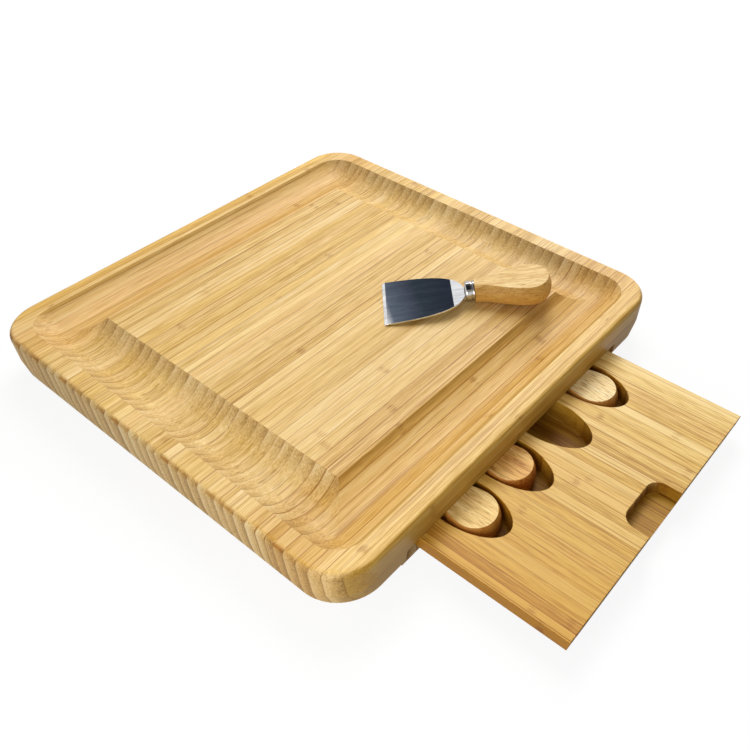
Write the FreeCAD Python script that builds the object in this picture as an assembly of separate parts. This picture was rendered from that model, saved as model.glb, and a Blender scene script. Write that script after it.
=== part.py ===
"""Square bamboo cheese board with a drawer on wooden runners and four cheese tools.

Millimetres. The origin is the centre of the cutting plateau. +Z is up, the drawer opens towards -Y, and
+X runs along the bamboo strips of the top. The drawer stands part open, and the chisel lies on the plateau.
"""
import FreeCAD
import Part
import math
import os

Vector = FreeCAD.Vector
ORIGIN = Vector(0, 0, 0)
X_AXIS = Vector(1, 0, 0)
Y_AXIS = Vector(0, 1, 0)
Z_AXIS = Vector(0, 0, 1)

# Board: a slab on an undercut base layer
BOARD_WIDTH = 350.0         # square, at the lower end of the rounded top edge
SLAB_THICKNESS = 21.5
CORNER_RADIUS = 31.0
SLAB_TAPER_DEG = 5.0        # the slab's sides lean in towards the table
BASE_UNDERCUT_DEG = 9.5     # the base layer leans in more
BASE_CHAMFER_HEIGHT = 8.5   # lowest part of the base layer, cut back so that fingers get under it
BASE_CHAMFER_INSET = 6.0
BASE_CORNER_RADIUS = 31.5   # where the base layer's chamfer starts
TOP_ROUND = 4.0
RIM_WIDTH = 14.6            # round the moat
MOAT_WIDTH = 42.7
MOAT_DEPTH = 10.3

# Drawer: a T section, whose flanges ride on the runners
BODY_WIDTH = 192.0
FLANGE_REACH = 12.0         # each side, past the body
FLANGE_THICKNESS = 8.8
BACK_RAIL_DEPTH = 46.4      # base layer behind the drawer
DRAWER_FLOOR = 2.5          # wood left under the pockets
DRAWER_LEAN_DEG = 12.0      # the drawer's front leans in towards the table
DRAWER_OPENING = 106.0      # how far it stands out
DRAWER_HELD = 87.0          # what stays under the slab at its stop
NOTCH_WIDTH = 41.9
NOTCH_REACH = 20.5          # back from the drawer's front edge
NOTCH_DEPTH = 9.3
NOTCH_CORNER = 9.5
NOTCH_CENTRE_X = 0.6
DRAWER_EDGE_ROUND = 0.5     # eased upper edges

# Pockets, counted from the drawer's left
POCKET_SETBACK = 67.6       # from the drawer's front edge to the pockets' front tips
POCKET_NOSE = 36.0          # length of the half-elliptical front end
POCKET_FLOOR_ROUND = 2.5
BAY_CORNER = 5.0
KNIFE_POCKET_SHARE = -0.366     # a pocket's middle, as a share of the body's width
FORK_POCKET_SHARE = -0.132
CHISEL_POCKET_SHARE = 0.108
SPADE_POCKET_SHARE = 0.360

# Runners, their screws and the drawer's stop
RUNNER_WIDTH = 10.2         # the upright beside the drawer's flange
RUNNER_RECESS = 5.0         # its front end behind the base's top edge
SCREWS_PER_RUNNER = 4
SCREW_END_MARGIN = 45.0     # first and last screw from the runner's ends
SCREW_LENGTH = 27.0
SCREW_RADIUS = 1.75
SCREW_HEAD_RADIUS = 3.5
SCREW_HEAD_HEIGHT = 2.6
SCREW_POINT = 4.0
SCREW_SLOT_WIDTH = 0.8
SCREW_SLOT_ARM = 2.1
SCREW_SLOT_DEPTH = 1.2
PEG_RADIUS = 4.0
PEG_RISE = 5.0              # above the drawer's top
PEG_SEAT = 8.0              # into the drawer
PEG_MARGIN = 12.0           # peg's centre from the drawer's rear end

# Tools: a turned handle with two planed flats, a ferrule and a flat blade with a tang
HANDLE_LENGTH = 58.6
HANDLE_RADIUS = 16.8
HANDLE_NECK_RADIUS = 8.7
HANDLE_END = 17.0           # length of the rounded end
HANDLE_THICKNESS = 16.4     # across the flats
TENON_RADIUS = 6.3
FERRULE_RADIUS = 8.1
FERRULE_LENGTH = 7.4
FERRULE_FRONT_WALL = 1.2
FERRULE_ROUND = 1.6         # front of its bead
FERRULE_GROOVE_WIDTH = 0.7  # behind the bead
FERRULE_GROOVE_DEPTH = 0.6
FERRULE_RING_LENGTH = 1.6   # half-round ring at the handle
BLADE_THICKNESS = 1.4
BLADE_NECK_WIDTH = 9.0
TANG_WIDTH = 8.0
TANG_LENGTH = 28.0

# Chisel, lying on the plateau on its tip and its ferrule
CHISEL_LENGTH = 61.9
CHISEL_WIDTH = 49.6
CHISEL_SHOULDER = 5.8       # how much narrower each side starts to flare
CHISEL_SHOULDER_REACH = 4.0
CHISEL_FLARE_REACH = 22.0
CHISEL_BEND_REACH = 9.5     # from the ferrule to the slight bend
CHISEL_BEND_DEG = 2.5
CHISEL_BEVEL = 2.4
CHISEL_EDGE = 0.3
CHISEL_X_SHARE = 0.2757     # middle of the ferrule's front, as a share of the plateau's width
CHISEL_Y_SHARE = -0.2995
CHISEL_HEADING_DEG = 134.8  # from handle to tip, turned from +X

# Blades of the three tools in the drawer
KNIFE_LENGTH = 62.0
KNIFE_WIDTH = 15.0
KNIFE_SHOULDER = 16.0
KNIFE_NOSE = 14.0
FORK_LENGTH = 62.0
FORK_WIDTH = 20.0
FORK_SHOULDER = 22.0
FORK_GAP = 7.0
FORK_PALM = 30.0            # from the ferrule to the root of the gap
FORK_POINT = 8.0
SPADE_LENGTH = 60.0
SPADE_WIDTH = 32.0
SPADE_SHOULDER = 20.0
SPADE_TIP_PULL = 14.0

# How far each handle's end lies behind its pocket's tip, and beside the pocket's middle
KNIFE_SLACK = 9.7
FORK_SLACK = 14.0
CHISEL_SLACK = 9.7
SPADE_SLACK = 8.5
KNIFE_SIDE = 0.4
FORK_SIDE = -0.8
SPADE_SIDE = -0.4

# Clearances
SLIDE_TOP_GAP = 0.4         # drawer under the slab
SLIDE_SIDE_GAP = 0.6        # drawer beside the runners
SLIDE_UNDER_GAP = 0.2       # flange over the runner's lip
SLIDE_REAR_GAP = 0.5        # shut drawer to the back rail
DRAWER_TABLE_GAP = 0.6      # drawer over the table
RUNNER_TABLE_GAP = 0.8
STOP_GAP = 0.4              # peg to its groove's ends
GROOVE_SIDE_GAP = 0.5
GROOVE_TOP_GAP = 1.0
REST_GAP = 0.1              # a tool over what it lies on
SEAT_GAP = 0.05             # glued and driven fits
POCKET_SIDE_GAP = 1.8       # handle to its pocket's wall
BAY_SIDE_GAP = 1.0          # blade to its bay's wall
BAY_END_GAP = 3.0
CUT_MARGIN = 1.0            # how far a cutter reaches past a face

# Bezier handle that draws a quarter of an ellipse
QUARTER_ELLIPSE = 0.5523
TOLERANCE = 1e-3

# Levels
TOP_Z = 0.0
RIDGE_Z = TOP_Z - SLAB_THICKNESS
DRAWER_TOP_Z = RIDGE_Z - SLIDE_TOP_GAP
POCKET_FLOOR_Z = DRAWER_TOP_Z - HANDLE_THICKNESS - REST_GAP
DRAWER_LOW_Z = POCKET_FLOOR_Z - DRAWER_FLOOR
FLANGE_LOW_Z = DRAWER_TOP_Z - FLANGE_THICKNESS
BASE_Z = DRAWER_LOW_Z - DRAWER_TABLE_GAP
CHAMFER_Z = BASE_Z + BASE_CHAMFER_HEIGHT
RUNNER_LOW_Z = BASE_Z + RUNNER_TABLE_GAP
LIP_TOP_Z = FLANGE_LOW_Z - SLIDE_UNDER_GAP

# Widths and half widths of the board, and the faces that follow from them
PLATEAU_WIDTH = BOARD_WIDTH - 2 * (RIM_WIDTH + MOAT_WIDTH)
FLANGE_WIDTH = BODY_WIDTH + 2 * FLANGE_REACH
SLAB_SLOPE = math.tan(math.radians(SLAB_TAPER_DEG))
BASE_SLOPE = math.tan(math.radians(BASE_UNDERCUT_DEG))
TOP_HALF = BOARD_WIDTH / 2 + TOP_ROUND * SLAB_SLOPE
RIDGE_HALF = TOP_HALF - SLAB_THICKNESS * SLAB_SLOPE
CHAMFER_HALF = RIDGE_HALF - (RIDGE_Z - CHAMFER_Z) * BASE_SLOPE
BASE_HALF = CHAMFER_HALF - BASE_CHAMFER_INSET
RIDGE_CORNER = CORNER_RADIUS - (TOP_HALF - RIDGE_HALF)
BASE_CORNER = BASE_CORNER_RADIUS - BASE_CHAMFER_INSET
RUNNER_INNER_X = FLANGE_WIDTH / 2 + SLIDE_SIDE_GAP
RAIL_INNER_X = RUNNER_INNER_X + RUNNER_WIDTH
LIP_INNER_X = BODY_WIDTH / 2 + SLIDE_SIDE_GAP
SHUT_FRONT_Y = -RIDGE_HALF + SLIDE_TOP_GAP * BASE_SLOPE
RAIL_INNER_Y = RIDGE_HALF - BACK_RAIL_DEPTH
SHUT_REAR_Y = RAIL_INNER_Y - SLIDE_REAR_GAP
DRAWER_TRAVEL = SHUT_REAR_Y - SHUT_FRONT_Y - DRAWER_HELD
RUNNER_FRONT_Y = -RIDGE_HALF + RUNNER_RECESS
PEG_SHUT_Y = SHUT_REAR_Y - PEG_MARGIN
POCKET_TIP_Y = SHUT_FRONT_Y + POCKET_SETBACK
POCKET_HALF = HANDLE_RADIUS + POCKET_SIDE_GAP
KNIFE_POCKET_X = KNIFE_POCKET_SHARE * BODY_WIDTH
FORK_POCKET_X = FORK_POCKET_SHARE * BODY_WIDTH
CHISEL_POCKET_X = CHISEL_POCKET_SHARE * BODY_WIDTH
SPADE_POCKET_X = SPADE_POCKET_SHARE * BODY_WIDTH
GRIP_LENGTH = HANDLE_LENGTH + FERRULE_LENGTH


def box(low, high):
    """Block between two opposite corners."""
    return Part.makeBox(high[0] - low[0], high[1] - low[1], high[2] - low[2], Vector(*low))


def line(start, end):
    return Part.LineSegment(start, end).toShape()


def bezier(*points):
    curve = Part.BezierCurve()
    curve.setPoles(list(points))
    return curve.toShape()


def quarter_ellipse(start, corner, end):
    """Quarter of an ellipse from start to end, tangent to the two sides that meet in corner."""
    first = start + (corner - start) * QUARTER_ELLIPSE
    second = end + (corner - end) * QUARTER_ELLIPSE
    return bezier(start, first, second, end)


def face_from(edges):
    return Part.Face(Part.Wire(Part.__sortEdges__(edges)))


def mirrored(shape, axis):
    return shape.mirror(ORIGIN, axis)


def rounded_rectangle(low, high, radius, z):
    """Closed wire of a rectangle with round corners."""
    corners = [
        (high[0] - radius, high[1] - radius, 0),
        (low[0] + radius, high[1] - radius, 90),
        (low[0] + radius, low[1] + radius, 180),
        (high[0] - radius, low[1] + radius, 270),
    ]
    arcs = []
    for x, y, start in corners:
        circle = Part.Circle(Vector(x, y, z), Z_AXIS, radius)
        arcs.append(Part.ArcOfCircle(circle, math.radians(start), math.radians(start + 90)))
    edges = []
    for arc, following in zip(arcs, arcs[1:] + arcs[:1]):
        edges += [arc.toShape(), line(arc.EndPoint, following.StartPoint)]
    return Part.Wire(edges)


def tapered_square(lower_half, lower_corner, lower_z, upper_half, upper_corner, upper_z):
    """Solid between two squares with round corners."""
    lower = rounded_rectangle((-lower_half, -lower_half), (lower_half, lower_half), lower_corner, lower_z)
    upper = rounded_rectangle((-upper_half, -upper_half), (upper_half, upper_half), upper_corner, upper_z)
    return Part.makeLoft([lower, upper], True, True)


def moat_cutter():
    """Round cove that runs round the plateau: four bars of one radius, with balls at the outer corners."""
    path_half = (PLATEAU_WIDTH + MOAT_WIDTH) / 2
    radius = ((MOAT_WIDTH / 2) ** 2 + MOAT_DEPTH ** 2) / (2 * MOAT_DEPTH)
    axis_z = TOP_Z - MOAT_DEPTH + radius
    quarters = []
    for turn in (0, 90, 180, 270):
        bar = Part.makeCylinder(radius, 2 * path_half, Vector(-path_half, path_half, axis_z), X_AXIS)
        corner = Part.makeSphere(radius, Vector(path_half, path_half, axis_z), Z_AXIS, -90, 90, 90)
        for piece in (bar, corner):
            piece.rotate(ORIGIN, Z_AXIS, turn)
            quarters.append(piece)
    return quarters[0].multiFuse(quarters[1:])


def peg_groove_cutter():
    """Groove under the slab that the stop peg runs in, as long as the drawer's travel."""
    half = PEG_RADIUS + GROOVE_SIDE_GAP
    reach = PEG_RADIUS + STOP_GAP
    low = (-half, PEG_SHUT_Y - DRAWER_TRAVEL - reach, RIDGE_Z - CUT_MARGIN)
    high = (half, PEG_SHUT_Y + reach, RIDGE_Z + PEG_RISE - SLIDE_TOP_GAP + GROOVE_TOP_GAP)
    return box(low, high)


def screw(gap):
    """Countersunk wood screw, head down at z = 0, grown by gap all round."""
    radius = SCREW_RADIUS + gap
    head = Part.makeCone(SCREW_HEAD_RADIUS + gap, radius, SCREW_HEAD_HEIGHT)
    point_z = SCREW_LENGTH - SCREW_POINT + gap
    shank = Part.makeCylinder(radius, point_z)
    point = Part.makeCone(radius, 0, SCREW_POINT, Vector(0, 0, point_z))
    return head.multiFuse([shank, point]).removeSplitter()


def screw_recess():
    """Cross recess for the driver in the screw's head."""
    half = SCREW_SLOT_WIDTH / 2
    first = box((-SCREW_SLOT_ARM, -half, -CUT_MARGIN), (SCREW_SLOT_ARM, half, SCREW_SLOT_DEPTH))
    second = box((-half, -SCREW_SLOT_ARM, -CUT_MARGIN), (half, SCREW_SLOT_ARM, SCREW_SLOT_DEPTH))
    return first.fuse(second)


def screw_places():
    """Middle of each screw's head, evenly spread along both runners."""
    first_y = RUNNER_FRONT_Y + SCREW_END_MARGIN
    last_y = RAIL_INNER_Y - SCREW_END_MARGIN
    step = (last_y - first_y) / (SCREWS_PER_RUNNER - 1)
    screw_x = RUNNER_INNER_X + RUNNER_WIDTH / 2
    return [
        Vector(side * screw_x, first_y + step * index, RUNNER_LOW_Z)
        for side in (-1, 1)
        for index in range(SCREWS_PER_RUNNER)
    ]


def at_screw_places(shape):
    return Part.makeCompound([shape.translated(place) for place in screw_places()])


def make_screws():
    return at_screw_places(screw(0).cut(screw_recess()))


def make_slab():
    slab = tapered_square(RIDGE_HALF, RIDGE_CORNER, RIDGE_Z, TOP_HALF, CORNER_RADIUS, TOP_Z)
    top_edges = [edge for edge in slab.Edges if edge.BoundBox.ZMin > TOP_Z - TOLERANCE]
    slab = slab.makeFillet(TOP_ROUND, top_edges)
    for cutter in (moat_cutter(), peg_groove_cutter(), at_screw_places(screw(SEAT_GAP))):
        slab = slab.cut(cutter)
    return slab


def base_layer(low, high):
    """What the undercut base layer fills between two opposite corners, seen from above."""
    upper = tapered_square(CHAMFER_HALF, BASE_CORNER_RADIUS, CHAMFER_Z, RIDGE_HALF, RIDGE_CORNER, RIDGE_Z)
    lower = tapered_square(BASE_HALF, BASE_CORNER, BASE_Z, CHAMFER_HALF, BASE_CORNER_RADIUS, CHAMFER_Z)
    return upper.fuse(lower).common(box((*low, BASE_Z), (*high, RIDGE_Z)))


def make_side_rail():
    return base_layer((-RIDGE_HALF, -RIDGE_HALF), (-RAIL_INNER_X, RIDGE_HALF))


def make_back_rail():
    return base_layer((-RAIL_INNER_X, RAIL_INNER_Y), (RAIL_INNER_X, RIDGE_HALF))


def make_left_runner():
    """Strip with a lip, on which the drawer's left flange rides."""
    upright_low = (-RAIL_INNER_X, RUNNER_FRONT_Y, RUNNER_LOW_Z)
    upright = box(upright_low, (-RUNNER_INNER_X, RAIL_INNER_Y, RIDGE_Z))
    lip = box(upright_low, (-LIP_INNER_X, RAIL_INNER_Y, LIP_TOP_Z))
    runner = upright.fuse(lip).removeSplitter()
    return runner.cut(at_screw_places(screw(SEAT_GAP)))


def drawer_blank():
    """T section of the shut drawer, with its front leaning in and chamfered like the base layer."""
    flange = box(
        (-FLANGE_WIDTH / 2, SHUT_FRONT_Y, FLANGE_LOW_Z), (FLANGE_WIDTH / 2, SHUT_REAR_Y, DRAWER_TOP_Z)
    )
    body = box((-BODY_WIDTH / 2, SHUT_FRONT_Y, DRAWER_LOW_Z), (BODY_WIDTH / 2, SHUT_REAR_Y, FLANGE_LOW_Z))
    lean_y = SHUT_FRONT_Y + (DRAWER_TOP_Z - CHAMFER_Z) * math.tan(math.radians(DRAWER_LEAN_DEG))
    low_y = lean_y + (CHAMFER_Z - DRAWER_LOW_Z) * BASE_CHAMFER_INSET / BASE_CHAMFER_HEIGHT
    side_x = -FLANGE_WIDTH / 2 - CUT_MARGIN
    corners = [
        Vector(side_x, SHUT_FRONT_Y, DRAWER_TOP_Z),
        Vector(side_x, lean_y, CHAMFER_Z),
        Vector(side_x, low_y, DRAWER_LOW_Z),
        Vector(side_x, SHUT_FRONT_Y, DRAWER_LOW_Z),
    ]
    wedge = Part.Face(Part.makePolygon(corners + corners[:1])).extrude(X_AXIS * -2 * side_x)
    return flange.fuse(body).removeSplitter().cut(wedge)


def notch_cutter():
    """Finger notch in the drawer's front edge."""
    low_x = NOTCH_CENTRE_X - NOTCH_WIDTH / 2
    high_x = NOTCH_CENTRE_X + NOTCH_WIDTH / 2
    front_y = SHUT_FRONT_Y - NOTCH_CORNER - CUT_MARGIN
    rear_y = SHUT_FRONT_Y + NOTCH_REACH
    outline = rounded_rectangle((low_x, front_y), (high_x, rear_y), NOTCH_CORNER, DRAWER_TOP_Z - NOTCH_DEPTH)
    return Part.Face(outline).extrude(Z_AXIS * (NOTCH_DEPTH + CUT_MARGIN))


def pocket_cutter(centre_x, slack, blade_length, blade_width):
    """Pocket for one tool: a bay with a long elliptical nose for the handle, and a bay for the blade."""
    tip = Vector(centre_x, POCKET_TIP_Y, POCKET_FLOOR_Z)
    bay_rear = slack + GRIP_LENGTH
    side = X_AXIS * POCKET_HALF
    nose = Y_AXIS * POCKET_NOSE
    rear = Y_AXIS * bay_rear
    edges = [
        quarter_ellipse(tip, tip + side, tip + side + nose),
        line(tip + side + nose, tip + side + rear),
        line(tip + side + rear, tip - side + rear),
        line(tip - side + rear, tip - side + nose),
        quarter_ellipse(tip - side + nose, tip - side, tip),
    ]
    depth = Z_AXIS * (DRAWER_TOP_Z + CUT_MARGIN - POCKET_FLOOR_Z)
    handle_bay = face_from(edges).extrude(depth)
    floor_edges = [edge for edge in handle_bay.Edges if edge.BoundBox.ZMax < POCKET_FLOOR_Z + TOLERANCE]
    handle_bay = handle_bay.makeFillet(POCKET_FLOOR_ROUND, floor_edges)
    half = blade_width / 2 + BAY_SIDE_GAP
    start_y = POCKET_TIP_Y + bay_rear - POCKET_FLOOR_ROUND - BAY_CORNER
    end_y = POCKET_TIP_Y + bay_rear + blade_length + BAY_END_GAP
    low = (centre_x - half, start_y)
    high = (centre_x + half, end_y)
    blade_bay = Part.Face(rounded_rectangle(low, high, BAY_CORNER, POCKET_FLOOR_Z)).extrude(depth)
    return handle_bay.fuse(blade_bay)


def shut_peg(gap):
    """Stop peg in the shut drawer's rear, grown by gap where it is seated."""
    low = Vector(0, PEG_SHUT_Y, DRAWER_TOP_Z - PEG_SEAT)
    return Part.makeCylinder(PEG_RADIUS + gap, PEG_SEAT + PEG_RISE, low)


def make_drawer():
    cutters = [
        notch_cutter(),
        pocket_cutter(KNIFE_POCKET_X, KNIFE_SLACK, KNIFE_LENGTH, KNIFE_WIDTH),
        pocket_cutter(FORK_POCKET_X, FORK_SLACK, FORK_LENGTH, FORK_WIDTH),
        pocket_cutter(CHISEL_POCKET_X, CHISEL_SLACK, CHISEL_LENGTH, CHISEL_WIDTH),
        pocket_cutter(SPADE_POCKET_X, SPADE_SLACK, SPADE_LENGTH, SPADE_WIDTH),
    ]
    drawer = drawer_blank()
    for cutter in cutters:
        drawer = drawer.cut(cutter)
    top_edges = [edge for edge in drawer.Edges if edge.BoundBox.ZMin > DRAWER_TOP_Z - TOLERANCE]
    return drawer.makeFillet(DRAWER_EDGE_ROUND, top_edges).cut(shut_peg(SEAT_GAP))


# A tool's own frame: the origin is the middle of the ferrule's front, and +X points to the blade's tip


def make_handle():
    """Turned grip, planed flat above and below, with a tenon in the ferrule and a slot for the tang."""
    neck_x = -FERRULE_LENGTH
    end_x = neck_x - HANDLE_LENGTH
    widest_x = end_x + HANDLE_END
    reach = (neck_x - widest_x) / 3
    end = Vector(end_x, 0, 0)
    widest = Vector(widest_x, HANDLE_RADIUS, 0)
    neck = Vector(neck_x, HANDLE_NECK_RADIUS, 0)
    profile = [
        quarter_ellipse(end, end + Y_AXIS * HANDLE_RADIUS, widest),
        bezier(widest, widest + X_AXIS * reach, neck - X_AXIS * reach, neck),
        line(neck, Vector(neck_x, 0, 0)),
        line(Vector(neck_x, 0, 0), end),
    ]
    grip = face_from(profile).revolve(ORIGIN, X_AXIS, 360)
    half = HANDLE_THICKNESS / 2
    grip = grip.common(box((end_x - CUT_MARGIN, -HANDLE_RADIUS, -half), (neck_x, HANDLE_RADIUS, half)))
    tenon_length = FERRULE_LENGTH - FERRULE_FRONT_WALL - SEAT_GAP
    tenon = Part.makeCylinder(TENON_RADIUS, tenon_length, Vector(neck_x, 0, 0), X_AXIS)
    return grip.fuse(tenon).removeSplitter().cut(tang_cutter())


def tang_cutter():
    half_width = TANG_WIDTH / 2 + SEAT_GAP
    half_height = BLADE_THICKNESS / 2 + SEAT_GAP
    return box((-TANG_LENGTH - SEAT_GAP, -half_width, -half_height), (CUT_MARGIN, half_width, half_height))


def make_ferrule():
    """Metal cup round the handle's tenon: a bead, a groove and a half-round ring, with a slot for the tang."""
    rear_x = -FERRULE_LENGTH
    ring_x = rear_x + FERRULE_RING_LENGTH
    bead_x = ring_x + FERRULE_GROOVE_WIDTH
    low = FERRULE_RADIUS - FERRULE_GROOVE_DEPTH
    front = Vector(0, FERRULE_RADIUS - FERRULE_ROUND, 0)
    bead_front = Vector(-FERRULE_ROUND, FERRULE_RADIUS, 0)
    bead_rear = Vector(bead_x + FERRULE_GROOVE_DEPTH, FERRULE_RADIUS, 0)
    groove_front = Vector(bead_x, low, 0)
    groove_rear = Vector(ring_x, low, 0)
    ring_top = Vector(rear_x + FERRULE_RING_LENGTH / 2, FERRULE_RADIUS, 0)
    rear = Vector(rear_x, low, 0)
    middle = Vector(rear_x, 0, 0)
    profile = [
        line(ORIGIN, front),
        quarter_ellipse(front, Vector(0, FERRULE_RADIUS, 0), bead_front),
        line(bead_front, bead_rear),
        quarter_ellipse(bead_rear, Vector(bead_x, FERRULE_RADIUS, 0), groove_front),
        line(groove_front, groove_rear),
        quarter_ellipse(groove_rear, Vector(ring_x, FERRULE_RADIUS, 0), ring_top),
        quarter_ellipse(ring_top, Vector(rear_x, FERRULE_RADIUS, 0), rear),
        line(rear, middle),
        line(middle, ORIGIN),
    ]
    cup = face_from(profile).revolve(ORIGIN, X_AXIS, 360)
    bore_length = FERRULE_LENGTH - FERRULE_FRONT_WALL
    bore = Part.makeCylinder(TENON_RADIUS + SEAT_GAP, bore_length, middle, X_AXIS)
    return cup.cut(bore).cut(tang_cutter())


def blade(half_outline, length, width, bend_reach, bend_deg, bevel, edge):
    """Blade and tang: a bent strip seen from the side, trimmed to an outline seen from above."""
    neck = Vector(0, BLADE_NECK_WIDTH / 2, 0)
    root = Vector(0, TANG_WIDTH / 2, 0)
    tang_end = Vector(-TANG_LENGTH, TANG_WIDTH / 2, 0)
    half_edges = [line(Vector(-TANG_LENGTH, 0, 0), tang_end), line(tang_end, root), line(root, neck)]
    half_edges += half_outline
    plan = face_from(half_edges + [mirrored(piece, Y_AXIS) for piece in half_edges])
    half = BLADE_THICKNESS / 2
    slope = math.tan(math.radians(bend_deg))
    tip_z = -(length - bend_reach) * slope
    side_points = [
        Vector(-TANG_LENGTH, 0, -half),
        Vector(bend_reach, 0, -half),
        Vector(length, 0, tip_z - half),
        Vector(length, 0, tip_z - half + edge),
        Vector(length - bevel, 0, tip_z + bevel * slope + half),
        Vector(bend_reach, 0, half),
        Vector(-TANG_LENGTH, 0, half),
    ]
    strip = Part.Face(Part.makePolygon(side_points + side_points[:1])).extrude(Y_AXIS * width)
    strip.translate(Y_AXIS * (-width / 2))
    height = length * math.tan(math.radians(abs(bend_deg))) + BLADE_THICKNESS
    prism = plan.extrude(Z_AXIS * 2 * height)
    prism.translate(Z_AXIS * -height)
    return prism.common(strip)


def chisel_tilt_deg():
    """Tilt at which the chisel lies on its tip and on its ferrule's lower front edge."""
    bend_slope = math.tan(math.radians(CHISEL_BEND_DEG))
    tip_low_z = -(CHISEL_LENGTH - CHISEL_BEND_REACH) * bend_slope - BLADE_THICKNESS / 2
    return math.degrees(math.atan((FERRULE_RADIUS + tip_low_z) / CHISEL_LENGTH))


def make_chisel_blade():
    """Wide blade whose sides flare to a straight edge, with a slight bend and a bevel."""
    half = CHISEL_WIDTH / 2
    tip = Vector(CHISEL_LENGTH, half, 0)
    side = bezier(
        Vector(0, BLADE_NECK_WIDTH / 2, 0),
        Vector(CHISEL_SHOULDER_REACH, half - CHISEL_SHOULDER, 0),
        Vector(CHISEL_FLARE_REACH, half, 0),
        tip,
    )
    outline = [side, line(tip, Vector(CHISEL_LENGTH, 0, 0))]
    return blade(
        outline, CHISEL_LENGTH, CHISEL_WIDTH, CHISEL_BEND_REACH, CHISEL_BEND_DEG, CHISEL_BEVEL, CHISEL_EDGE
    )


def flat_blade(half_outline, length, width):
    return blade(half_outline, length, width, 0, 0, 0, BLADE_THICKNESS)


def shoulder(reach, half_width):
    """Smooth step from the blade's neck to its full width."""
    neck = Vector(0, BLADE_NECK_WIDTH / 2, 0)
    full = Vector(reach, half_width, 0)
    return bezier(neck, neck + X_AXIS * (reach / 2), full - X_AXIS * (reach / 2), full)


def make_knife_blade():
    """Narrow blade with a round nose."""
    half = KNIFE_WIDTH / 2
    nose = Vector(KNIFE_LENGTH - KNIFE_NOSE, half, 0)
    tip = Vector(KNIFE_LENGTH, 0, 0)
    outline = [
        shoulder(KNIFE_SHOULDER, half),
        line(Vector(KNIFE_SHOULDER, half, 0), nose),
        quarter_ellipse(nose, Vector(KNIFE_LENGTH, half, 0), tip),
    ]
    return flat_blade(outline, KNIFE_LENGTH, KNIFE_WIDTH)


def make_fork_blade():
    """Two pointed prongs on a palm."""
    half = FORK_WIDTH / 2
    gap_half = FORK_GAP / 2
    outer = Vector(FORK_LENGTH - FORK_POINT, half, 0)
    point = Vector(FORK_LENGTH, (half + gap_half) / 2, 0)
    inner = Vector(FORK_LENGTH - FORK_POINT, gap_half, 0)
    root_side = Vector(FORK_PALM + gap_half, gap_half, 0)
    root = Vector(FORK_PALM, 0, 0)
    outline = [
        shoulder(FORK_SHOULDER, half),
        line(Vector(FORK_SHOULDER, half, 0), outer),
        line(outer, point),
        line(point, inner),
        line(inner, root_side),
        quarter_ellipse(root_side, Vector(FORK_PALM, gap_half, 0), root),
    ]
    return flat_blade(outline, FORK_LENGTH, FORK_WIDTH)


def make_spade_blade():
    """Heart-shaped blade that ends in a point."""
    half = SPADE_WIDTH / 2
    full = Vector(SPADE_SHOULDER, half, 0)
    tip = Vector(SPADE_LENGTH, 0, 0)
    outline = [
        shoulder(SPADE_SHOULDER, half),
        bezier(full, full + X_AXIS * SPADE_TIP_PULL, tip + Vector(-SPADE_TIP_PULL, half / 2, 0), tip),
    ]
    return flat_blade(outline, SPADE_LENGTH, SPADE_WIDTH)


def lay_on_plateau(shape):
    """Chisel's pieces, tilted and turned to where the chisel lies."""
    tilt = chisel_tilt_deg()
    height = FERRULE_RADIUS * math.cos(math.radians(tilt)) + REST_GAP
    placed = shape.copy()
    placed.rotate(ORIGIN, Y_AXIS, tilt)
    placed.rotate(ORIGIN, Z_AXIS, CHISEL_HEADING_DEG)
    ferrule_x = CHISEL_X_SHARE * PLATEAU_WIDTH
    ferrule_y = CHISEL_Y_SHARE * PLATEAU_WIDTH
    placed.translate(Vector(ferrule_x, ferrule_y, TOP_Z + height))
    return placed


def lay_in_pocket(shape, pocket_x, side, slack):
    """A tool's pieces, flat on the pocket's floor in the shut drawer."""
    placed = shape.copy()
    placed.rotate(ORIGIN, Z_AXIS, 90)
    ferrule_y = POCKET_TIP_Y + slack + GRIP_LENGTH
    placed.translate(Vector(pocket_x + side, ferrule_y, POCKET_FLOOR_Z + REST_GAP + HANDLE_THICKNESS / 2))
    return placed


def tool_pieces(name, blade_shape):
    """A tool's three pieces by node name, in the tool's own frame."""
    return {
        name + "_blade": blade_shape,
        name + "_ferrule": make_ferrule(),
        name + "_handle": make_handle(),
    }


def board_nodes():
    side_rail = make_side_rail()
    runner = make_left_runner()
    nodes = {
        "top_slab": make_slab(),
        "rail_left": side_rail,
        "rail_right": mirrored(side_rail, X_AXIS),
        "rail_back": make_back_rail(),
        "runner_left": runner,
        "runner_right": mirrored(runner, X_AXIS),
        "runner_screws": make_screws(),
    }
    for node, shape in tool_pieces("chisel", make_chisel_blade()).items():
        nodes[node] = lay_on_plateau(shape)
    return nodes


def drawer_nodes():
    """The drawer and all that rides in it, pulled out to where it stands."""
    stored = [
        ("knife", make_knife_blade(), KNIFE_POCKET_X, KNIFE_SIDE, KNIFE_SLACK),
        ("fork", make_fork_blade(), FORK_POCKET_X, FORK_SIDE, FORK_SLACK),
        ("spade", make_spade_blade(), SPADE_POCKET_X, SPADE_SIDE, SPADE_SLACK),
    ]
    nodes = {"drawer": make_drawer(), "drawer_stop_peg": shut_peg(0)}
    for name, blade_shape, pocket_x, side, slack in stored:
        for node, shape in tool_pieces(name, blade_shape).items():
            nodes[node] = lay_in_pocket(shape, pocket_x, side, slack)
    return {node: shape.translated(Y_AXIS * -DRAWER_OPENING) for node, shape in nodes.items()}


def main():
    os.makedirs("parts", exist_ok=True)
    for node, shape in {**board_nodes(), **drawer_nodes()}.items():
        shape.exportStep("parts/" + node + ".step")
        print(node, "solids", len(shape.Solids), "valid", shape.isValid(), "volume", round(shape.Volume, 1))


main()
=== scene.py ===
"""Looks of a bamboo cheese board with a drawer of cheese tools: materials, studio light and a camera."""

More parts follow.
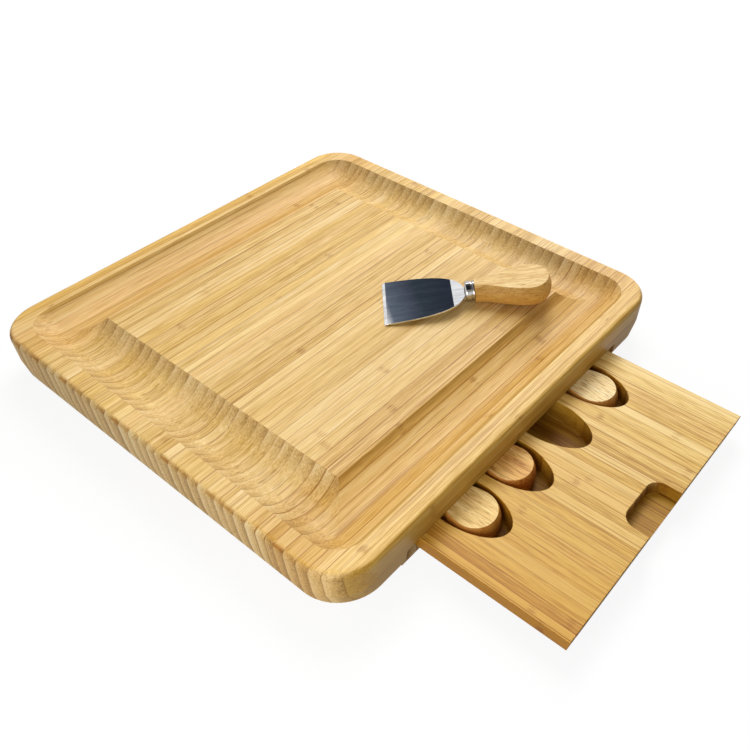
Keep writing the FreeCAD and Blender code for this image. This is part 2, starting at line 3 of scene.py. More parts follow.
import functools
import math

import bpy
from mathutils import Matrix, Vector


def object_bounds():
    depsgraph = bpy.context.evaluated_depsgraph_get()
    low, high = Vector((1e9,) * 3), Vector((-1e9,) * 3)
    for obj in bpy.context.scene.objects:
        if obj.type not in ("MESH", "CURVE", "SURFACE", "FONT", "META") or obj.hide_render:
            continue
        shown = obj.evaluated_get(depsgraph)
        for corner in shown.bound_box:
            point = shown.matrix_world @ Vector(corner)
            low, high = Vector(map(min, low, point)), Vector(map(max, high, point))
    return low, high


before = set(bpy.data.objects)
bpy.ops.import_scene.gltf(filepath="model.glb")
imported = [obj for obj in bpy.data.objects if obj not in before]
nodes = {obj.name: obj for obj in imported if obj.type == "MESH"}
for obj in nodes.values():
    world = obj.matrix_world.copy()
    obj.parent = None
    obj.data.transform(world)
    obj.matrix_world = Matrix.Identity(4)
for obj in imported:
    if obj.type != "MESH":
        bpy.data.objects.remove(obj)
cad_low, cad_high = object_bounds()

MM = 0.001
MM_PER_METRE = 1000.0
WHITE = (1.0, 1.0, 1.0, 1.0)

# Settings that many nodes share: a soft step, and a colour that multiplies another.
# Inputs by number: a MapRange has its value at 0, its range at 1 and 2, and the new range at 3 and 4.
# That is 0 to 1 where it is left out. A Mix has its share at 0, numbers at 2 and 3, and colours at 6 and 7
SMOOTH = {"interpolation_type": "SMOOTHSTEP"}
TINT = {"out": 2, "data_type": "RGBA", "blend_type": "MULTIPLY"}

# Camera: where it stands over the board's middle, and how it is turned, in degrees
CAMERA_PLACE_MM = (-358.3, -392.8, 424.9)
CAMERA_TURN_DEG = -52.35
CAMERA_RISE_DEG = 36.44
CAMERA_ROLL_DEG = -1.26
PHOTO_PIXELS = 750
FOCAL_PIXELS = 898.4
PICTURE_CENTRE_X = 460.8
PICTURE_CENTRE_Y = 266.1
SENSOR_MM = 36.0
NEAREST_SEEN = 0.01

# Light: strength of the surroundings on the object, and the soft lamps as place, target and size in metres,
# and power in watts
AMBIENT = 0.24
LAMPS = {
    "key": ((0.85, 0.58, 1.70), (0.0, -0.05, 0.0), 1.1, 26.2),
    "side": ((-0.56, -0.27, 0.16), (-0.17, -0.10, -0.02), 0.35, 1.85),
    "window": ((1.65, 0.73, 1.26), (0.05, -0.10, 0.0), 0.6, 13.0),
    "low": ((1.25, 0.05, 0.26), (0.12, 0.0, 0.0), 0.5, 3.0),
}

# Sheets that glow and are seen only in reflections, painted reflections for the chisel's blade: each with
# its corners, the two ends of its fade, and the tones of the fade.
# Corners and ends are turn and rise in degrees, seen from the chisel's blade
SHEET_DISTANCE = 2.5
BLADE_MIDDLE = (0.04, -0.045, 0.005)
REFLECTION_SHEETS = {
    "reflection_behind": (
        [(47.6, 18.0), (68.0, 18.0), (66.0, 40.0), (58.0, 44.0), (47.6, 44.0)],
        [(49.1, 38.0), (56.6, 38.0)],
        [(0.05, "#2f3642"), (0.44, "#39424c"), (0.57, "#4c5260"), (0.86, "#687280"), (0.97, "#f4f4f2")],
    ),
    "reflection_overhead": (
        [(3.0, 36.6), (87.0, 36.6), (197.1, 27.5), (252.9, 27.5)],
        [(45.0, 45.0), (225.0, 30.5)],
        [(0.0, "#aaa7a0"), (0.2, "#34363a"), (0.64, "#24262b"), (0.76, "#b8b5ae"), (1.0, "#8f8b84")],
    ),
}

# Floor, in metres
FLOOR_REACH = 8.0
FLOOR_GAP = 0.0002
FLOOR_GLOW = 0.90           # share of white that the floor shows before any light falls on it
FLOOR_FADE = (0.5, 4.0)     # from here to here the floor fades into the white surroundings

# Glued-up blocks of bamboo: axes along and across the strips, a strip's thickness in millimetres, and a seed
BOARD_BLOCK = ("X", "Y", 8.5, 40.3)     # the slab and the rails are cut from the same block
DRAWER_BLOCK = ("Y", "X", 7.6, 17.2)
RUNNER_BLOCK = ("Y", "X", 7.6, 63.9)

# Bamboo, in millimetres. Sizes in threes are along a strip, across it and through its depth
STRIP_JITTER = 0.75         # how uneven the strips are, from 0 to 1
LAST_STRIP = (166.0, 169.0)         # the outermost strips of the top start between these widths
OUTER_LEAD = 0.22           # how much sooner painted shade sets in on the outermost strips, from 0 to 1
GLUE_LINE = 0.6             # a glue line fades out this far from the joint
GLUE_CORE = 0.12            # and is in full within this distance of it
BATCH_SIZES = (900.0, 26.0, 90.0)
BAND_SIZES = (190.0, 3.6, 14.0)
STREAK_SIZES = (220.0, 2.0, 3.0)
FIBRE_SIZES = (20.0, 0.8, 0.8)      # real fibre bundles are about 0.4 wide; drawn coarser so that they show
SPECKLE_SIZES = (30.0, 1.3, 1.3)    # ends of the bundles and dashes of the knuckles, drawn coarser too
KNUCKLE_SPACING = 260.0     # along a strip, between the joints of the cane
KNUCKLE_SHIFT = 11.3        # how many spacings the joints of two strips may lie apart
KNUCKLE_LENGTH = 4.0        # from the middle of a mark to where it fades out
KNUCKLE_RAGGED = 5.0        # how far the ends of a mark stray
KNUCKLE_SIZES = (6.0, 1.1, 5.0)
STRIP_SHIFT = 60.0          # moves the noises apart from strip to strip
FIBRE_RELIEF = 0.25
TONES_REACH = 180.0         # half of the width over which the tones change from strip to strip
PATCH_FADE = 6.0            # length over which the patches of a rounded end fade in
HOLLOW_SHADE_FADE = 3.0           # height over which the painted shade in hollows sets in
NOWHERE = 900.0             # outside of the part, for a piece without a rounded end or without painted shade in hollows

# Turned handles, in millimetres
RING_SIZES = (110.0, 6.5, 12.0)
FINE_SIZES = (34.0, 1.3, 1.6)
PORE_SIZES = (8.0, 0.8, 0.8)        # real pores are about 0.2 wide; drawn coarser so that they show
PORE_DEPTH = 0.15
CHISEL_HEADING_DEG = 134.8
DRAWER_HEADING_DEG = 90.0

# Metals, in millimetres
POLISH_SIZES = (70.0, 0.9, 0.9)     # real polishing lines are finer; drawn coarser so that they show
SMEAR_SIZES = (55.0, 6.0, 6.0)
PLATE_WAVE = 2.6
PLATE_RELIEF = 0.1
ZINC_GRAIN = 0.7
BLADE_EDGE = 0.45           # ground edge of the chisel's blade
BLADE_EDGE_ANGLE_DEG = 25.0
WELD_GAP = 0.01
FLAT_ANGLE_DEG = 0.5
CREASE_ANGLE_DEG = 15.0


def linear(colour):
    """Linear RGBA from an sRGB hex colour."""
    channels = [int(colour[place:place + 2], 16) / 255 for place in (1, 3, 5)]
    return [c / 12.92 if c <= 0.04045 else ((c + 0.055) / 1.055) ** 2.4 for c in channels] + [1.0]


def add(tree, kind, inputs=None, out=0, stops=None, **settings):
    """Adds a node with its settings and links, and returns one of its outputs, or all where out is None.

    Inputs are values or sockets, by number or name. Stops are the places and tones of a ramp.
    """
    made = tree.nodes.new("ShaderNode" + kind)
    for setting, value in settings.items():
        setattr(made, setting, value)
    for key, value in (inputs or {}).items():
        if isinstance(value, bpy.types.NodeSocket):
            tree.links.new(value, made.inputs[key])
        else:
            made.inputs[key].default_value = value
    if stops:
        elements = made.color_ramp.elements
        while len(elements) < len(stops):
            elements.new(1.0)
        for element, (place, colour) in zip(elements, stops):
            element.position = place
            element.color = linear(colour)
    return made.outputs if out is None else made.outputs[out]


def empty_tree(owner):
    """The add function for a material's or world's own emptied tree."""
    owner.use_nodes = True
    owner.node_tree.nodes.clear()
    return functools.partial(add, owner.node_tree)


def new_material(name):
    """A new material, and the add function for its tree."""
    material = bpy.data.materials.new(name)
    return material, empty_tree(material)


def grain_noise(node, grain, sizes, shift, detail, roughness):
    """Noise whose grains measure sizes, in millimetres, along the three parts of the grain's position."""
    scales = [1 / size for size in sizes]
    place = node("VectorMath", {0: grain, 1: scales, 2: shift}, operation="MULTIPLY_ADD")
    return node("TexNoise", {"Vector": place, "Scale": 1.0, "Detail": detail, "Roughness": roughness})


def swayed(node, middle, *terms):
    """Middle, moved by its weight for each term whose value leaves 0.5."""
    total = middle - sum(weight for value, weight in terms) / 2
    for value, weight in terms:
        total = node("Math", {0: value, 1: weight, 2: total}, operation="MULTIPLY_ADD")
    return total


def bamboo_strips(node, along, across, strip, seed):
    """Where a point lies in the glued-up strips, how it is cut, and its strip's random values and noises."""
    coordinates = node("TexCoord", out=None)
    place = node("VectorMath", {0: coordinates["Object"], "Scale": MM_PER_METRE}, operation="SCALE")
    place = node("SeparateXYZ", {0: place}, out=None)
    grain = node("CombineXYZ", {0: place[along], 1: place[across], 2: place["Z"]})
    facing = node("SeparateXYZ", {0: coordinates["Normal"]}, out=None)
    strip_place = node("Math", {0: place[across], 1: 1 / strip, 2: seed}, operation="MULTIPLY_ADD")
    cells = {"W": strip_place, "Scale": 1.0, "Randomness": STRIP_JITTER}
    cell = node("TexVoronoi", cells, out=None, voronoi_dimensions="1D")
    edge = node("TexVoronoi", cells, out="Distance", voronoi_dimensions="1D", feature="DISTANCE_TO_EDGE")
    shift = node("VectorMath", {0: cell["Color"], "Scale": STRIP_SHIFT}, operation="SCALE")
    from_middle = node("Math", {0: place[across]}, operation="ABSOLUTE")
    return {
        "length": place[along],
        "width": place[across],
        "height": place["Z"],
        "outermost": node("MapRange", {0: from_middle, 1: LAST_STRIP[0], 2: LAST_STRIP[1]}, **SMOOTH),
        "cut_across": node("Math", {0: facing[along]}, operation="ABSOLUTE"),
        "broad_side": node("Math", {0: facing[across]}, operation="ABSOLUTE"),
        "inside": node("Math", {0: strip_place, 1: cell["W"]}, operation="SUBTRACT"),
        "from_glue": node("Math", {0: edge, 1: strip}, operation="MULTIPLY"),
        "own": node("SeparateColor", {0: cell["Color"]}, out=None),
        "batch": grain_noise(node, grain, BATCH_SIZES, (seed, 0, 0), detail=2.0, roughness=0.5),
        "band": grain_noise(node, grain, BAND_SIZES, shift, detail=2.0, roughness=0.5),
        "streak": grain_noise(node, grain, STREAK_SIZES, shift, detail=2.0, roughness=0.7),
        "fibre": grain_noise(node, grain, FIBRE_SIZES, shift, detail=2.0, roughness=0.6),
        "speckle": grain_noise(node, grain, SPECKLE_SIZES, shift, detail=1.0, roughness=0.5),
        "ragged": grain_noise(node, grain, KNUCKLE_SIZES, shift, detail=2.0, roughness=0.65),
    }


def long_grain(node, at, tones):
    """Colour of bamboo cut along its fibres: strip tone, bands, fibres and thin dark streaks."""
    own = at["own"]
    tone = swayed(node, 0.52, (own["Red"], tones["variety"]), (at["batch"], 0.4), (at["band"], 0.5),
                  (at["streak"], 0.7), (at["fibre"], 0.85))
    colour = node("ValToRGB", {0: tone}, stops=tones["long"])
    hue = node("ValToRGB", {0: own["Green"]}, stops=[(0.1, "#fffbe8"), (0.5, "#ffffff"), (0.9, "#fffaf5")])
    colour = node("Mix", {0: 1.0, 6: colour, 7: hue}, **TINT)
    dark = node("MapRange", {0: at["streak"], 1: 0.56, 2: 0.70, 4: 0.7}, **SMOOTH)
    return node("Mix", {0: dark, 6: colour, 7: linear(tones["streak"])}, **TINT)


def knuckles(node, at):
    """Short ragged marks of a few dashes, once per length of cane in most strips."""
    cane = node("Math", {0: at["own"]["Red"], 1: KNUCKLE_SHIFT}, operation="MULTIPLY")
    cane = node("Math", {0: at["length"], 1: 1 / KNUCKLE_SPACING, 2: cane}, operation="MULTIPLY_ADD")
    cane = node("Math", {0: cane, 1: 0.5}, operation="PINGPONG")
    away = node("Math", {0: at["ragged"], 1: 2 * KNUCKLE_RAGGED}, operation="MULTIPLY")
    away = node("Math", {0: cane, 1: KNUCKLE_SPACING, 2: away}, operation="MULTIPLY_ADD")
    mark = node("MapRange", {0: away, 1: KNUCKLE_RAGGED + KNUCKLE_LENGTH, 2: KNUCKLE_RAGGED}, **SMOOTH)
    thin = node("MapRange", {0: at["speckle"], 1: 0.38, 2: 0.58}, **SMOOTH)
    some = node("MapRange", {0: at["own"]["Blue"], 1: 0.1, 2: 0.5, 4: 0.6}, **SMOOTH)
    mark = node("Math", {0: mark, 1: thin}, operation="MULTIPLY")
    return node("Math", {0: mark, 1: some}, operation="MULTIPLY")


def cut_grain(node, at, tones):
    """Colour of bamboo cut across its fibres: pale to brown over each strip, patchy on a rounded end."""
    own = at["own"]
    tone = swayed(node, 0.5, (own["Green"], 0.24), (at["batch"], 0.4), (at["band"], 0.2), (at["fibre"], 0.7),
                  (at["speckle"], 0.65))
    square = node("MapRange", {0: at["cut_across"], 1: 0.80, 2: 0.98, 3: 0.38, 4: 0.50})
    skin = node("Math", {0: at["inside"], 1: square}, operation="MULTIPLY")
    colour = node("ValToRGB", {0: node("Math", {0: tone, 1: skin}, operation="ADD")}, stops=tones["end"])
    curved = node("MapRange", {0: at["cut_across"], 1: 0.98, 2: 0.85}, **SMOOTH)
    edge = tones["edge"]
    near_end = node("Math", {0: at["length"]}, operation="ABSOLUTE")
    near_end = node("MapRange", {0: near_end, 1: edge - PATCH_FADE, 2: edge}, **SMOOTH)
    some = node("MapRange", {0: own["Red"], 1: 0.2, 2: 0.8, 4: 0.9}, **SMOOTH)
    patchy = node("Math", {0: curved, 1: near_end}, operation="MULTIPLY")
    patchy = node("Math", {0: patchy, 1: some}, operation="MULTIPLY")
    return node("Mix", {0: patchy, 6: colour, 7: linear("#d8b880")}, **TINT)


def glue_lines(node, at):
    """Lines between the strips, broken along the fibres. Where these are cut, they are whole and wider."""
    cut = node("MapRange", {0: at["cut_across"], 1: 0.04, 2: 0.35}, **SMOOTH)
    wider = node("MapRange", {0: cut, 3: 1.0, 4: 0.7})
    away = node("Math", {0: at["from_glue"], 1: wider}, operation="MULTIPLY")
    line = node("MapRange", {0: away, 1: GLUE_LINE, 2: GLUE_CORE}, **SMOOTH)
    some = node("MapRange", {0: at["own"]["Blue"], 1: 0.1, 2: 0.9, 3: 0.3}, **SMOOTH)
    whole = node("MapRange", {0: at["band"], 1: 0.30, 2: 0.54, 3: 0.4}, **SMOOTH)
    cut_line = node("MapRange", {0: at["own"]["Green"], 1: 0.25, 2: 0.90, 3: 0.22, 4: 0.95}, **SMOOTH)
    whole = node("Mix", {0: cut, 2: whole, 3: cut_line})
    inner = node("Math", {0: 1.0, 1: at["outermost"]}, operation="SUBTRACT")
    line = node("Math", {0: line, 1: some}, operation="MULTIPLY")
    line = node("Math", {0: line, 1: inner}, operation="MULTIPLY")
    return node("Math", {0: line, 1: whole}, operation="MULTIPLY")


def pressed_bamboo(name, along, across, strip, seed, tones, roughness):
    """Glued-up strips of split bamboo cane, planed and oiled.

    The eye sees straight strips of slightly different straw and honey tones, broken brown glue lines, fine
    fibres along the strips and small brown knuckles. Cut across, each strip goes from pale inside to brown
    at its skin, speckled by the ends of the fibres. Faces that turn across the strips, such as the sides and
    cove walls, and hollows below a given height are browner: painted shade, partly the outer strips' browner
    broad faces.
    """
    material, node = new_material(name)
    at = bamboo_strips(node, along, across, strip, seed)
    end_grain = node("MapRange", {0: at["cut_across"], 1: 0.25, 2: 0.80}, **SMOOTH)
    along_fibres = long_grain(node, at, tones)
    along_fibres = node("Mix", {0: knuckles(node, at), 6: along_fibres, 7: linear("#c2a273")}, **TINT)
    across_fibres = cut_grain(node, at, tones)
    colour = node("Mix", {0: end_grain, 6: along_fibres, 7: across_fibres}, out=2, data_type="RGBA")
    line = glue_lines(node, at)
    colour = node("Mix", {0: line, 6: colour, 7: linear(tones["glue"])}, **TINT)

    # Tones that change from strip to strip over the width, then painted shade: browner faces that turn
    # across the strips, and browner hollows
    over_width = node("MapRange", {0: at["width"], 1: -TONES_REACH, 2: TONES_REACH})
    over_width = node("ValToRGB", {0: over_width}, stops=tones["over_width"])
    colour = node("Mix", {0: 1.0, 6: colour, 7: over_width}, **TINT)
    # Painted shade on faces that turn across the strips, sooner on the outermost strips; on the sides partly
    # the outer strips' own browner broad faces
    turned = node("Math", {0: at["outermost"], 1: OUTER_LEAD, 2: at["broad_side"]}, operation="MULTIPLY_ADD")
    broad_side = node("MapRange", {0: turned, 1: 0.50, 2: 0.90}, **SMOOTH)
    # Painted shade in hollows below the height given in the tones
    brim = tones["hollow"]
    hollow = node("MapRange", {0: at["height"], 1: brim, 2: brim - HOLLOW_SHADE_FADE}, **SMOOTH)
    routed = node("Math", {0: broad_side, 1: hollow}, operation="MAXIMUM")
    colour = node("Mix", {0: routed, 6: colour, 7: linear(tones["routed"])}, **TINT)

    rough = swayed(node, roughness, (at["fibre"], 0.18))
    rough = node("Math", {0: end_grain, 1: 0.12, 2: rough}, operation="MULTIPLY_ADD")
    relief = node("Math", {0: line, 1: -0.6, 2: at["fibre"]}, operation="MULTIPLY_ADD")
    bump = node("Bump", {"Height": relief, "Strength": 0.25, "Distance": FIBRE_RELIEF * MM})
    shader = node("BsdfPrincipled", {
        "Base Color": colour, "Roughness": rough, "Normal": bump, "IOR": 1.45, "Specular IOR Level": 0.3,
    })
    node("OutputMaterial", {"Surface": shader}, None)
    return material


def along_tool(node, heading_deg):
    """Position along, across and through a tool that points the way of its heading, in millimetres."""
    place = node("TexCoord", out="Object")
    turned = node("VectorRotate", {"Vector": place, "Axis": (0, 0, 1), "Angle": math.radians(-heading_deg)})
    return node("VectorMath", {0: turned, "Scale": MM_PER_METRE}, operation="SCALE")


def turned_hardwood(name, heading_deg, seed, tones):
    """Close-grained hardwood, turned, planed flat on two sides and lacquered thinly.

    The eye sees soft darker growth rings along the handle, short dark pores in line with it, and a silky
    gloss. The round sides are deeper in tone than the planed flats: painted shade.
    """
    material, node = new_material(name)
    grain = along_tool(node, heading_deg)
    shift = (seed, seed * 1.7, seed * 0.6)
    ring = grain_noise(node, grain, RING_SIZES, shift, detail=2.0, roughness=0.55)
    fine = grain_noise(node, grain, FINE_SIZES, shift, detail=3.0, roughness=0.65)
    pores = grain_noise(node, grain, PORE_SIZES, shift, detail=1.0, roughness=0.4)
    tone = swayed(node, 0.5, (ring, 1.0), (fine, 0.8))
    colour = node("ValToRGB", {0: tone}, stops=tones["wood"])

    # A late-wood line where a growth ring ends
    late = node("Math", {0: ring, 1: tones["rings"]}, operation="MULTIPLY")
    late = node("Math", {0: late, 1: 0.5}, operation="PINGPONG")
    late = node("MapRange", {0: late, 1: 0.40, 2: 0.50, 4: tones["ring_strength"]}, **SMOOTH)
    colour = node("Mix", {0: late, 6: colour, 7: linear(tones["late"])}, **TINT)
    dark = node("MapRange", {0: pores, 1: 0.52, 2: 0.70, 4: tones["pore_strength"]}, **SMOOTH)
    colour = node("Mix", {0: dark, 6: colour, 7: linear(tones["pores"])}, **TINT)

    # Painted shade: the round sides, turned away from the light, are darker than the planed flats
    upward = node("SeparateXYZ", {0: node("TexCoord", out="Normal")}, out="Z")
    upward = node("Math", {0: upward}, operation="ABSOLUTE")
    rounded = node("MapRange", {0: upward, 1: 0.95, 2: 0.60}, **SMOOTH)
    colour = node("Mix", {0: rounded, 6: colour, 7: linear(tones["side"])}, **TINT)

    rough = node("Math", {0: fine, 1: 0.2, 2: 0.40}, operation="MULTIPLY_ADD")
    bump = node("Bump", {"Height": dark, "Strength": 0.25, "Distance": -PORE_DEPTH * MM})
    shader = node("BsdfPrincipled", {
        "Base Color": colour, "Roughness": rough, "Normal": bump, "IOR": 1.5, "Specular IOR Level": 0.25,
    })
    node("OutputMaterial", {"Surface": shader}, None)
    return material


def polished_stainless(name, heading_deg):
    """Stainless steel sheet, polished along its length.

    The eye sees a nearly clear mirror with faint lengthwise lines that smear what it reflects.
    """
    material, node = new_material(name)
    grain = along_tool(node, heading_deg)
    lines = grain_noise(node, grain, POLISH_SIZES, (3, 1, 2), detail=3.0, roughness=0.65)
    smears = grain_noise(node, grain, SMEAR_SIZES, (1, 5, 2), detail=2.0, roughness=0.5)
    tone = swayed(node, 0.5, (lines, 0.7), (smears, 0.7))
    colour = node("ValToRGB", {0: tone}, stops=[(0.30, "#c9cbce"), (0.70, "#efeff0")])
    rough = node("Math", {0: tone, 1: 0.03, 2: 0.015}, operation="MULTIPLY_ADD")
    shader = node("BsdfPrincipled", {"Base Color": colour, "Roughness": rough, "Metallic": 1.0})
    node("OutputMaterial", {"Surface": shader}, None)
    return material


def chrome_plate(name):
    """Chrome plated brass, buffed. The eye sees a clear mirror with slight waves and a few rubbed spots."""
    material, node = new_material(name)
    grain = along_tool(node, 0.0)
    waves = grain_noise(node, grain, [PLATE_WAVE] * 3, (4, 2, 7), detail=2.0, roughness=0.5)
    colour = node("ValToRGB", {0: waves}, stops=[(0.3, "#b2b0ad"), (0.7, "#c9c7c4")])
    rough = node("Math", {0: waves, 1: 0.12, 2: 0.04}, operation="MULTIPLY_ADD")
    bump = node("Bump", {"Height": waves, "Strength": 0.05, "Distance": PLATE_RELIEF * MM})
    shader = node("BsdfPrincipled", {
        "Base Color": colour, "Roughness": rough, "Normal": bump, "Metallic": 1.0,
    })
    node("OutputMaterial", {"Surface": shader}, None)
    return material


def zinc_plate(name):
    """Zinc plated screw steel. The eye sees a dull bluish grey with a fine crystalline mottle."""
    material, node = new_material(name)
    grain = along_tool(node, 0.0)
    mottle = grain_noise(node, grain, [ZINC_GRAIN] * 3, (2, 9, 1), detail=3.0, roughness=0.6)
    colour = node("ValToRGB", {0: mottle}, stops=[(0.3, "#8f9396"), (0.7, "#b9bdc0")])
    rough = node("Math", {0: mottle, 1: 0.25, 2: 0.25}, operation="MULTIPLY_ADD")
    shader = node("BsdfPrincipled", {"Base Color": colour, "Roughness": rough, "Metallic": 1.0})
    node("OutputMaterial", {"Surface": shader}, None)
    return material


def dress(material, *names):
    """Gives CAD nodes a material."""
    for name in names:
        mesh = nodes[name].data
        mesh.materials.clear()
        mesh.materials.append(material)


# Tones of the bamboo. Variety is how much the strips differ, the edge is how far along the strips a rounded
# end is in full patches. The height below which hollows get painted shade, and the tint of painted shade on
# hollows and on faces that turn across the strips, come last
BOARD_TONES = {
    "variety": 0.26,
    "long": [(0.24, "#cfa252"), (0.39, "#e2ba6d"), (0.50, "#efca83"), (0.61, "#f6d390"), (0.78, "#ffe3ab")],
    "streak": "#bf9f66",
    "glue": "#bf9c69",
    "end": [(0.15, "#a6824b"), (0.34, "#c59f61"), (0.50, "#d9b575"), (0.66, "#e5c58a"), (0.85, "#f0d8a4")],
    "over_width": [
        (0.055, "#ffffff"), (0.095, "#eadfcb"), (0.165, "#eadfcb"), (0.19, "#f3f2f0"),
        (0.81, "#f3f2f0"), (0.835, "#f3ece1"), (0.93, "#eae1d4"), (0.97, "#fffefa"),
    ],
    "edge": 170.0,
    "hollow": -NOWHERE,
    "routed": "#cabd8a",
}
DRAWER_TONES = {
    "variety": 0.32,
    "long": [(0.28, "#c69c4f"), (0.40, "#dab162"), (0.50, "#eccb7d"), (0.60, "#f0d18c"), (0.74, "#f7da9a")],
    "streak": "#c3a86f",
    "glue": "#cbae7c",
    "end": [(0.12, "#75542a"), (0.35, "#9c763e"), (0.6, "#b99355"), (0.88, "#d0ae74")],
    "over_width": [(0.22, "#e1c787"), (0.36, "#ebdcb2"), (0.76, "#ffffff")],
    "edge": NOWHERE,
    "hollow": -22.9,        # painted shade in hollows starts 1 mm under the drawer's upper face
    "routed": "#cdb768",
}


def dress_bamboo():
    """Bamboo for the top, the base, the drawer and the runners."""
    top = pressed_bamboo("bamboo_top_oiled", *BOARD_BLOCK, BOARD_TONES, roughness=0.46)
    dress(top, "top_slab")
    base = pressed_bamboo("bamboo_base_oiled", *BOARD_BLOCK, BOARD_TONES, roughness=0.50)
    dress(base, "rail_left", "rail_right", "rail_back")
    drawer = pressed_bamboo("bamboo_drawer_oiled", *DRAWER_BLOCK, DRAWER_TONES, roughness=0.48)
    dress(drawer, "drawer")
    runner = pressed_bamboo("bamboo_runner", *RUNNER_BLOCK, BOARD_TONES, roughness=0.55)
    dress(runner, "runner_left", "runner_right")


# Tones of the handles, no two of which are from the same plank. The peg is of the chisel's wood
# The side tones are painted shade on the round sides, deeper for the tools that lie in the drawer's pockets
CHISEL_WOOD = {
    "wood": [(0.25, "#d6aa62"), (0.50, "#e9c580"), (0.75, "#f2d699")],
    "late": "#dcbf90", "rings": 6.0, "ring_strength": 0.5,
    "pores": "#cdb086", "pore_strength": 0.6,
    "side": "#e4d0a2",
}
KNIFE_WOOD = {
    "wood": [(0.25, "#e4ba6c"), (0.50, "#f8d88f"), (0.75, "#ffe9ad")],
    "late": "#cdb17c", "rings": 9.0, "ring_strength": 0.7,
    "pores": "#c2a674", "pore_strength": 0.7,
    "side": "#cfa46a",
}
FORK_WOOD = {
    "wood": [(0.25, "#d29447"), (0.50, "#e8b664"), (0.75, "#f3ca80")],
    "late": "#b98a52", "rings": 6.0, "ring_strength": 0.8,
    "pores": "#c09a62", "pore_strength": 0.7,
    "side": "#cfa46a",
}
SPADE_WOOD = {
    "wood": [(0.25, "#edcb87"), (0.50, "#fadfa2"), (0.75, "#ffecbc")],
    "late": "#dcc49a", "rings": 5.0, "ring_strength": 0.4,
    "pores": "#c2a97f", "pore_strength": 0.8,
    "side": "#cfa46a",
}


def dress_tools():
    """Wood and metal for the four tools, the peg and the screws."""
    dress(turned_hardwood("hardwood_chisel", CHISEL_HEADING_DEG, 3.0, CHISEL_WOOD), "chisel_handle")
    stored_woods = {"knife": (11.0, KNIFE_WOOD), "fork": (23.0, FORK_WOOD), "spade": (37.0, SPADE_WOOD)}
    for tool, (seed, tones) in stored_woods.items():
        dress(turned_hardwood("hardwood_" + tool, DRAWER_HEADING_DEG, seed, tones), tool + "_handle")
    dress(turned_hardwood("hardwood_peg", 0.0, 51.0, CHISEL_WOOD), "drawer_stop_peg")
    dress(polished_stainless("stainless_chisel", CHISEL_HEADING_DEG), "chisel_blade")
    stored_steel = polished_stainless("stainless_stored", DRAWER_HEADING_DEG)
    dress(stored_steel, "knife_blade", "fork_blade", "spade_blade")
    ferrules = [tool + "_ferrule" for tool in ("chisel", "knife", "fork", "spade")]
    dress(chrome_plate("chrome_ferrule"), *ferrules)
    dress(zinc_plate("zinc_screws"), "runner_screws")


def grind_blade():
    """Narrow ground edges round the chisel's blade, which catch the light."""
    modifiers = nodes["chisel_blade"].modifiers
    modifiers.new("weld", "WELD").merge_threshold = WELD_GAP * MM
    whole_faces = modifiers.new("whole_faces", "DECIMATE")
    whole_faces.decimate_type = "DISSOLVE"
    whole_faces.angle_limit = math.radians(FLAT_ANGLE_DEG)
    ground = modifiers.new("ground", "BEVEL")
    ground.width = BLADE_EDGE * MM
    ground.segments = 2
    ground.limit_method = "ANGLE"
    ground.angle_limit = math.radians(BLADE_EDGE_ANGLE_DEG)
    modifiers.new("flat_faces", "EDGE_SPLIT").split_angle = math.radians(CREASE_ANGLE_DEG)


def plain_mesh(name, corners, material):
    """Flat stage piece with straight edges."""
    mesh = bpy.data.meshes.new(name)
    mesh.from_pydata(corners, [], [list(range(len(corners)))])
    piece = bpy.data.objects.new(name, mesh)
    bpy.context.scene.collection.objects.link(piece)
    mesh.materials.append(material)
    return piece


def seen_directly(node):
    """1 for what the camera, metal and glass see, and 0 for light that falls on the object."""
    path = node("LightPath", out=None)
    seen = node("Math", {0: path["Is Camera Ray"], 1: path["Is Glossy Ray"]}, operation="MAXIMUM")
    return node("Math", {0: seen, 1: path["Is Transmission Ray"]}, operation="MAXIMUM")


def pale_floor():
    """White floor that keeps a faint shadow. It throws less light back on the object than it shows."""
    material, node = new_material("studio_floor")
    paper = node("BsdfDiffuse", {"Color": linear("#8f8b84")})
    away = node("VectorMath", {0: node("TexCoord", out="Object")}, out="Value", operation="LENGTH")
    whiteness = node("MapRange", {0: away, 1: FLOOR_FADE[0], 2: FLOOR_FADE[1], 3: FLOOR_GLOW})
    glow = node("Emission", {"Color": WHITE, "Strength": whiteness})
    shadow = node("BsdfDiffuse", {"Color": linear("#5a5a5a")})
    shown = node("AddShader", {0: glow, 1: shadow})
    mixed = node("MixShader", {0: seen_directly(node), 1: paper, 2: shown})
    node("OutputMaterial", {"Surface": mixed}, None)
    level = cad_low.z - FLOOR_GAP
    ends = [(-1, -1), (1, -1), (1, 1), (-1, 1)]
    plain_mesh("floor", [(x * FLOOR_REACH, y * FLOOR_REACH, level) for x, y in ends], material)


def white_surroundings():
    """White where it is seen, and a weak even light where it falls on the object."""
    world = bpy.data.worlds.new("studio")
    bpy.context.scene.world = world
    node = empty_tree(world)
    strength = node("MapRange", {0: seen_directly(node), 3: AMBIENT})
    sky = node("Background", {"Color": WHITE, "Strength": strength})
    node("OutputWorld", {"Surface": sky}, None)


def softbox(name, place, target, size, power):
    """Square soft light that looks at target."""
    lamp = bpy.data.lights.new(name, "AREA")
    lamp.shape = "SQUARE"
    lamp.size = size
    lamp.energy = power
    piece = bpy.data.objects.new(name, lamp)
    piece.location = place
    piece.rotation_mode = "QUATERNION"
    piece.rotation_quaternion = (Vector(target) - Vector(place)).to_track_quat("-Z", "Y")
    bpy.context.scene.collection.objects.link(piece)


def direction(turn_deg, rise_deg):
    """Unit vector, turned from +X towards +Y and raised from level."""
    turn, rise = math.radians(turn_deg), math.radians(rise_deg)
    return Vector((math.cos(turn) * math.cos(rise), math.sin(turn) * math.cos(rise), math.sin(rise)))


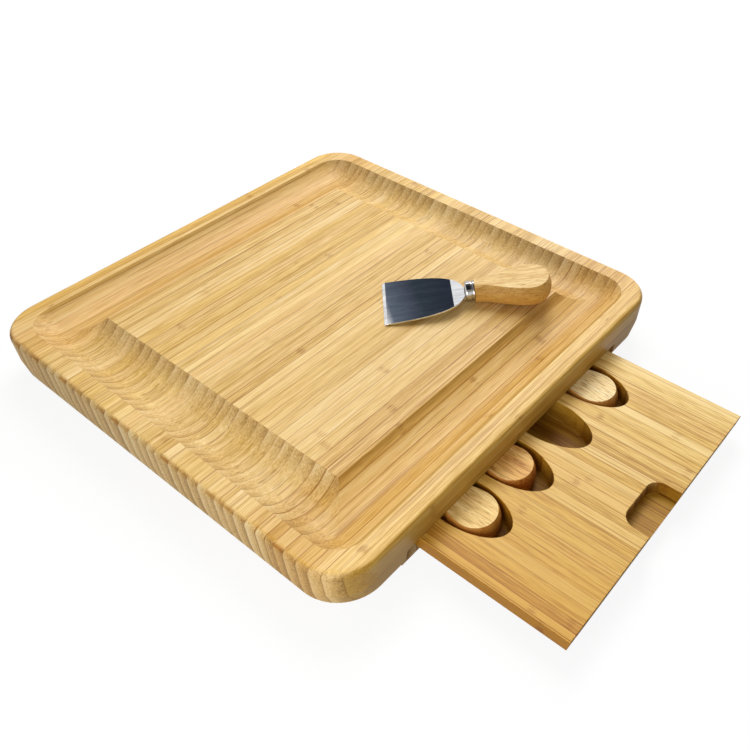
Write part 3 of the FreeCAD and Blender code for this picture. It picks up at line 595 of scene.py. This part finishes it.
def painted_reflection(name, corners_deg, fade_deg, tones):
    """Sheet that glows in tones fading from one end to the other, seen only in reflections: a painted
    reflection. It throws no diffuse light and casts no shadow.
    """
    corners = [Vector(BLADE_MIDDLE) + direction(*corner) * SHEET_DISTANCE for corner in corners_deg]
    start, stop = [Vector(BLADE_MIDDLE) + direction(*end) * SHEET_DISTANCE for end in fade_deg]
    slope = (stop - start) / (stop - start).length_squared
    material, node = new_material("studio_" + name)
    place = node("VectorMath", {0: node("TexCoord", out="Object"), 1: start}, operation="SUBTRACT")
    fade = node("VectorMath", {0: place, 1: slope}, out="Value", operation="DOT_PRODUCT")
    sheet_glow = node("Emission", {"Color": node("ValToRGB", {0: fade}, stops=tones), "Strength": 1.0})
    node("OutputMaterial", {"Surface": sheet_glow}, None)
    glow_sheet = plain_mesh(name, corners, material)
    glow_sheet.visible_camera = False
    glow_sheet.visible_diffuse = False
    glow_sheet.visible_shadow = False
    glow_sheet.visible_transmission = False


def photo_camera():
    """Camera that sees the board as the photograph does."""
    turn, rise = math.radians(CAMERA_TURN_DEG), math.radians(CAMERA_RISE_DEG)
    back = Vector((math.sin(turn) * math.cos(rise), -math.cos(turn) * math.cos(rise), math.sin(rise)))
    right = (-back).cross(Vector((0, 0, 1))).normalized()
    up = back.cross(right)
    roll = Matrix.Rotation(math.radians(-CAMERA_ROLL_DEG), 3, back)
    right, up = roll @ right, roll @ up
    data = bpy.data.cameras.new("camera")
    data.sensor_width = SENSOR_MM
    data.lens = FOCAL_PIXELS / PHOTO_PIXELS * SENSOR_MM
    data.shift_x = (PHOTO_PIXELS / 2 - PICTURE_CENTRE_X) / PHOTO_PIXELS
    data.shift_y = (PICTURE_CENTRE_Y - PHOTO_PIXELS / 2) / PHOTO_PIXELS
    data.clip_start = NEAREST_SEEN
    camera = bpy.data.objects.new("camera", data)
    turned = Matrix((right, up, back)).transposed().to_4x4()
    camera.matrix_world = Matrix.Translation(Vector(CAMERA_PLACE_MM) * MM) @ turned
    bpy.context.scene.collection.objects.link(camera)
    bpy.context.scene.camera = camera


dress_bamboo()
dress_tools()
grind_blade()
pale_floor()
white_surroundings()
for name, lamp in LAMPS.items():
    softbox(name, *lamp)
for name, glow_sheet in REFLECTION_SHEETS.items():
    painted_reflection(name, *glow_sheet)
photo_camera()
bpy.context.scene.view_settings.view_transform = "Standard"
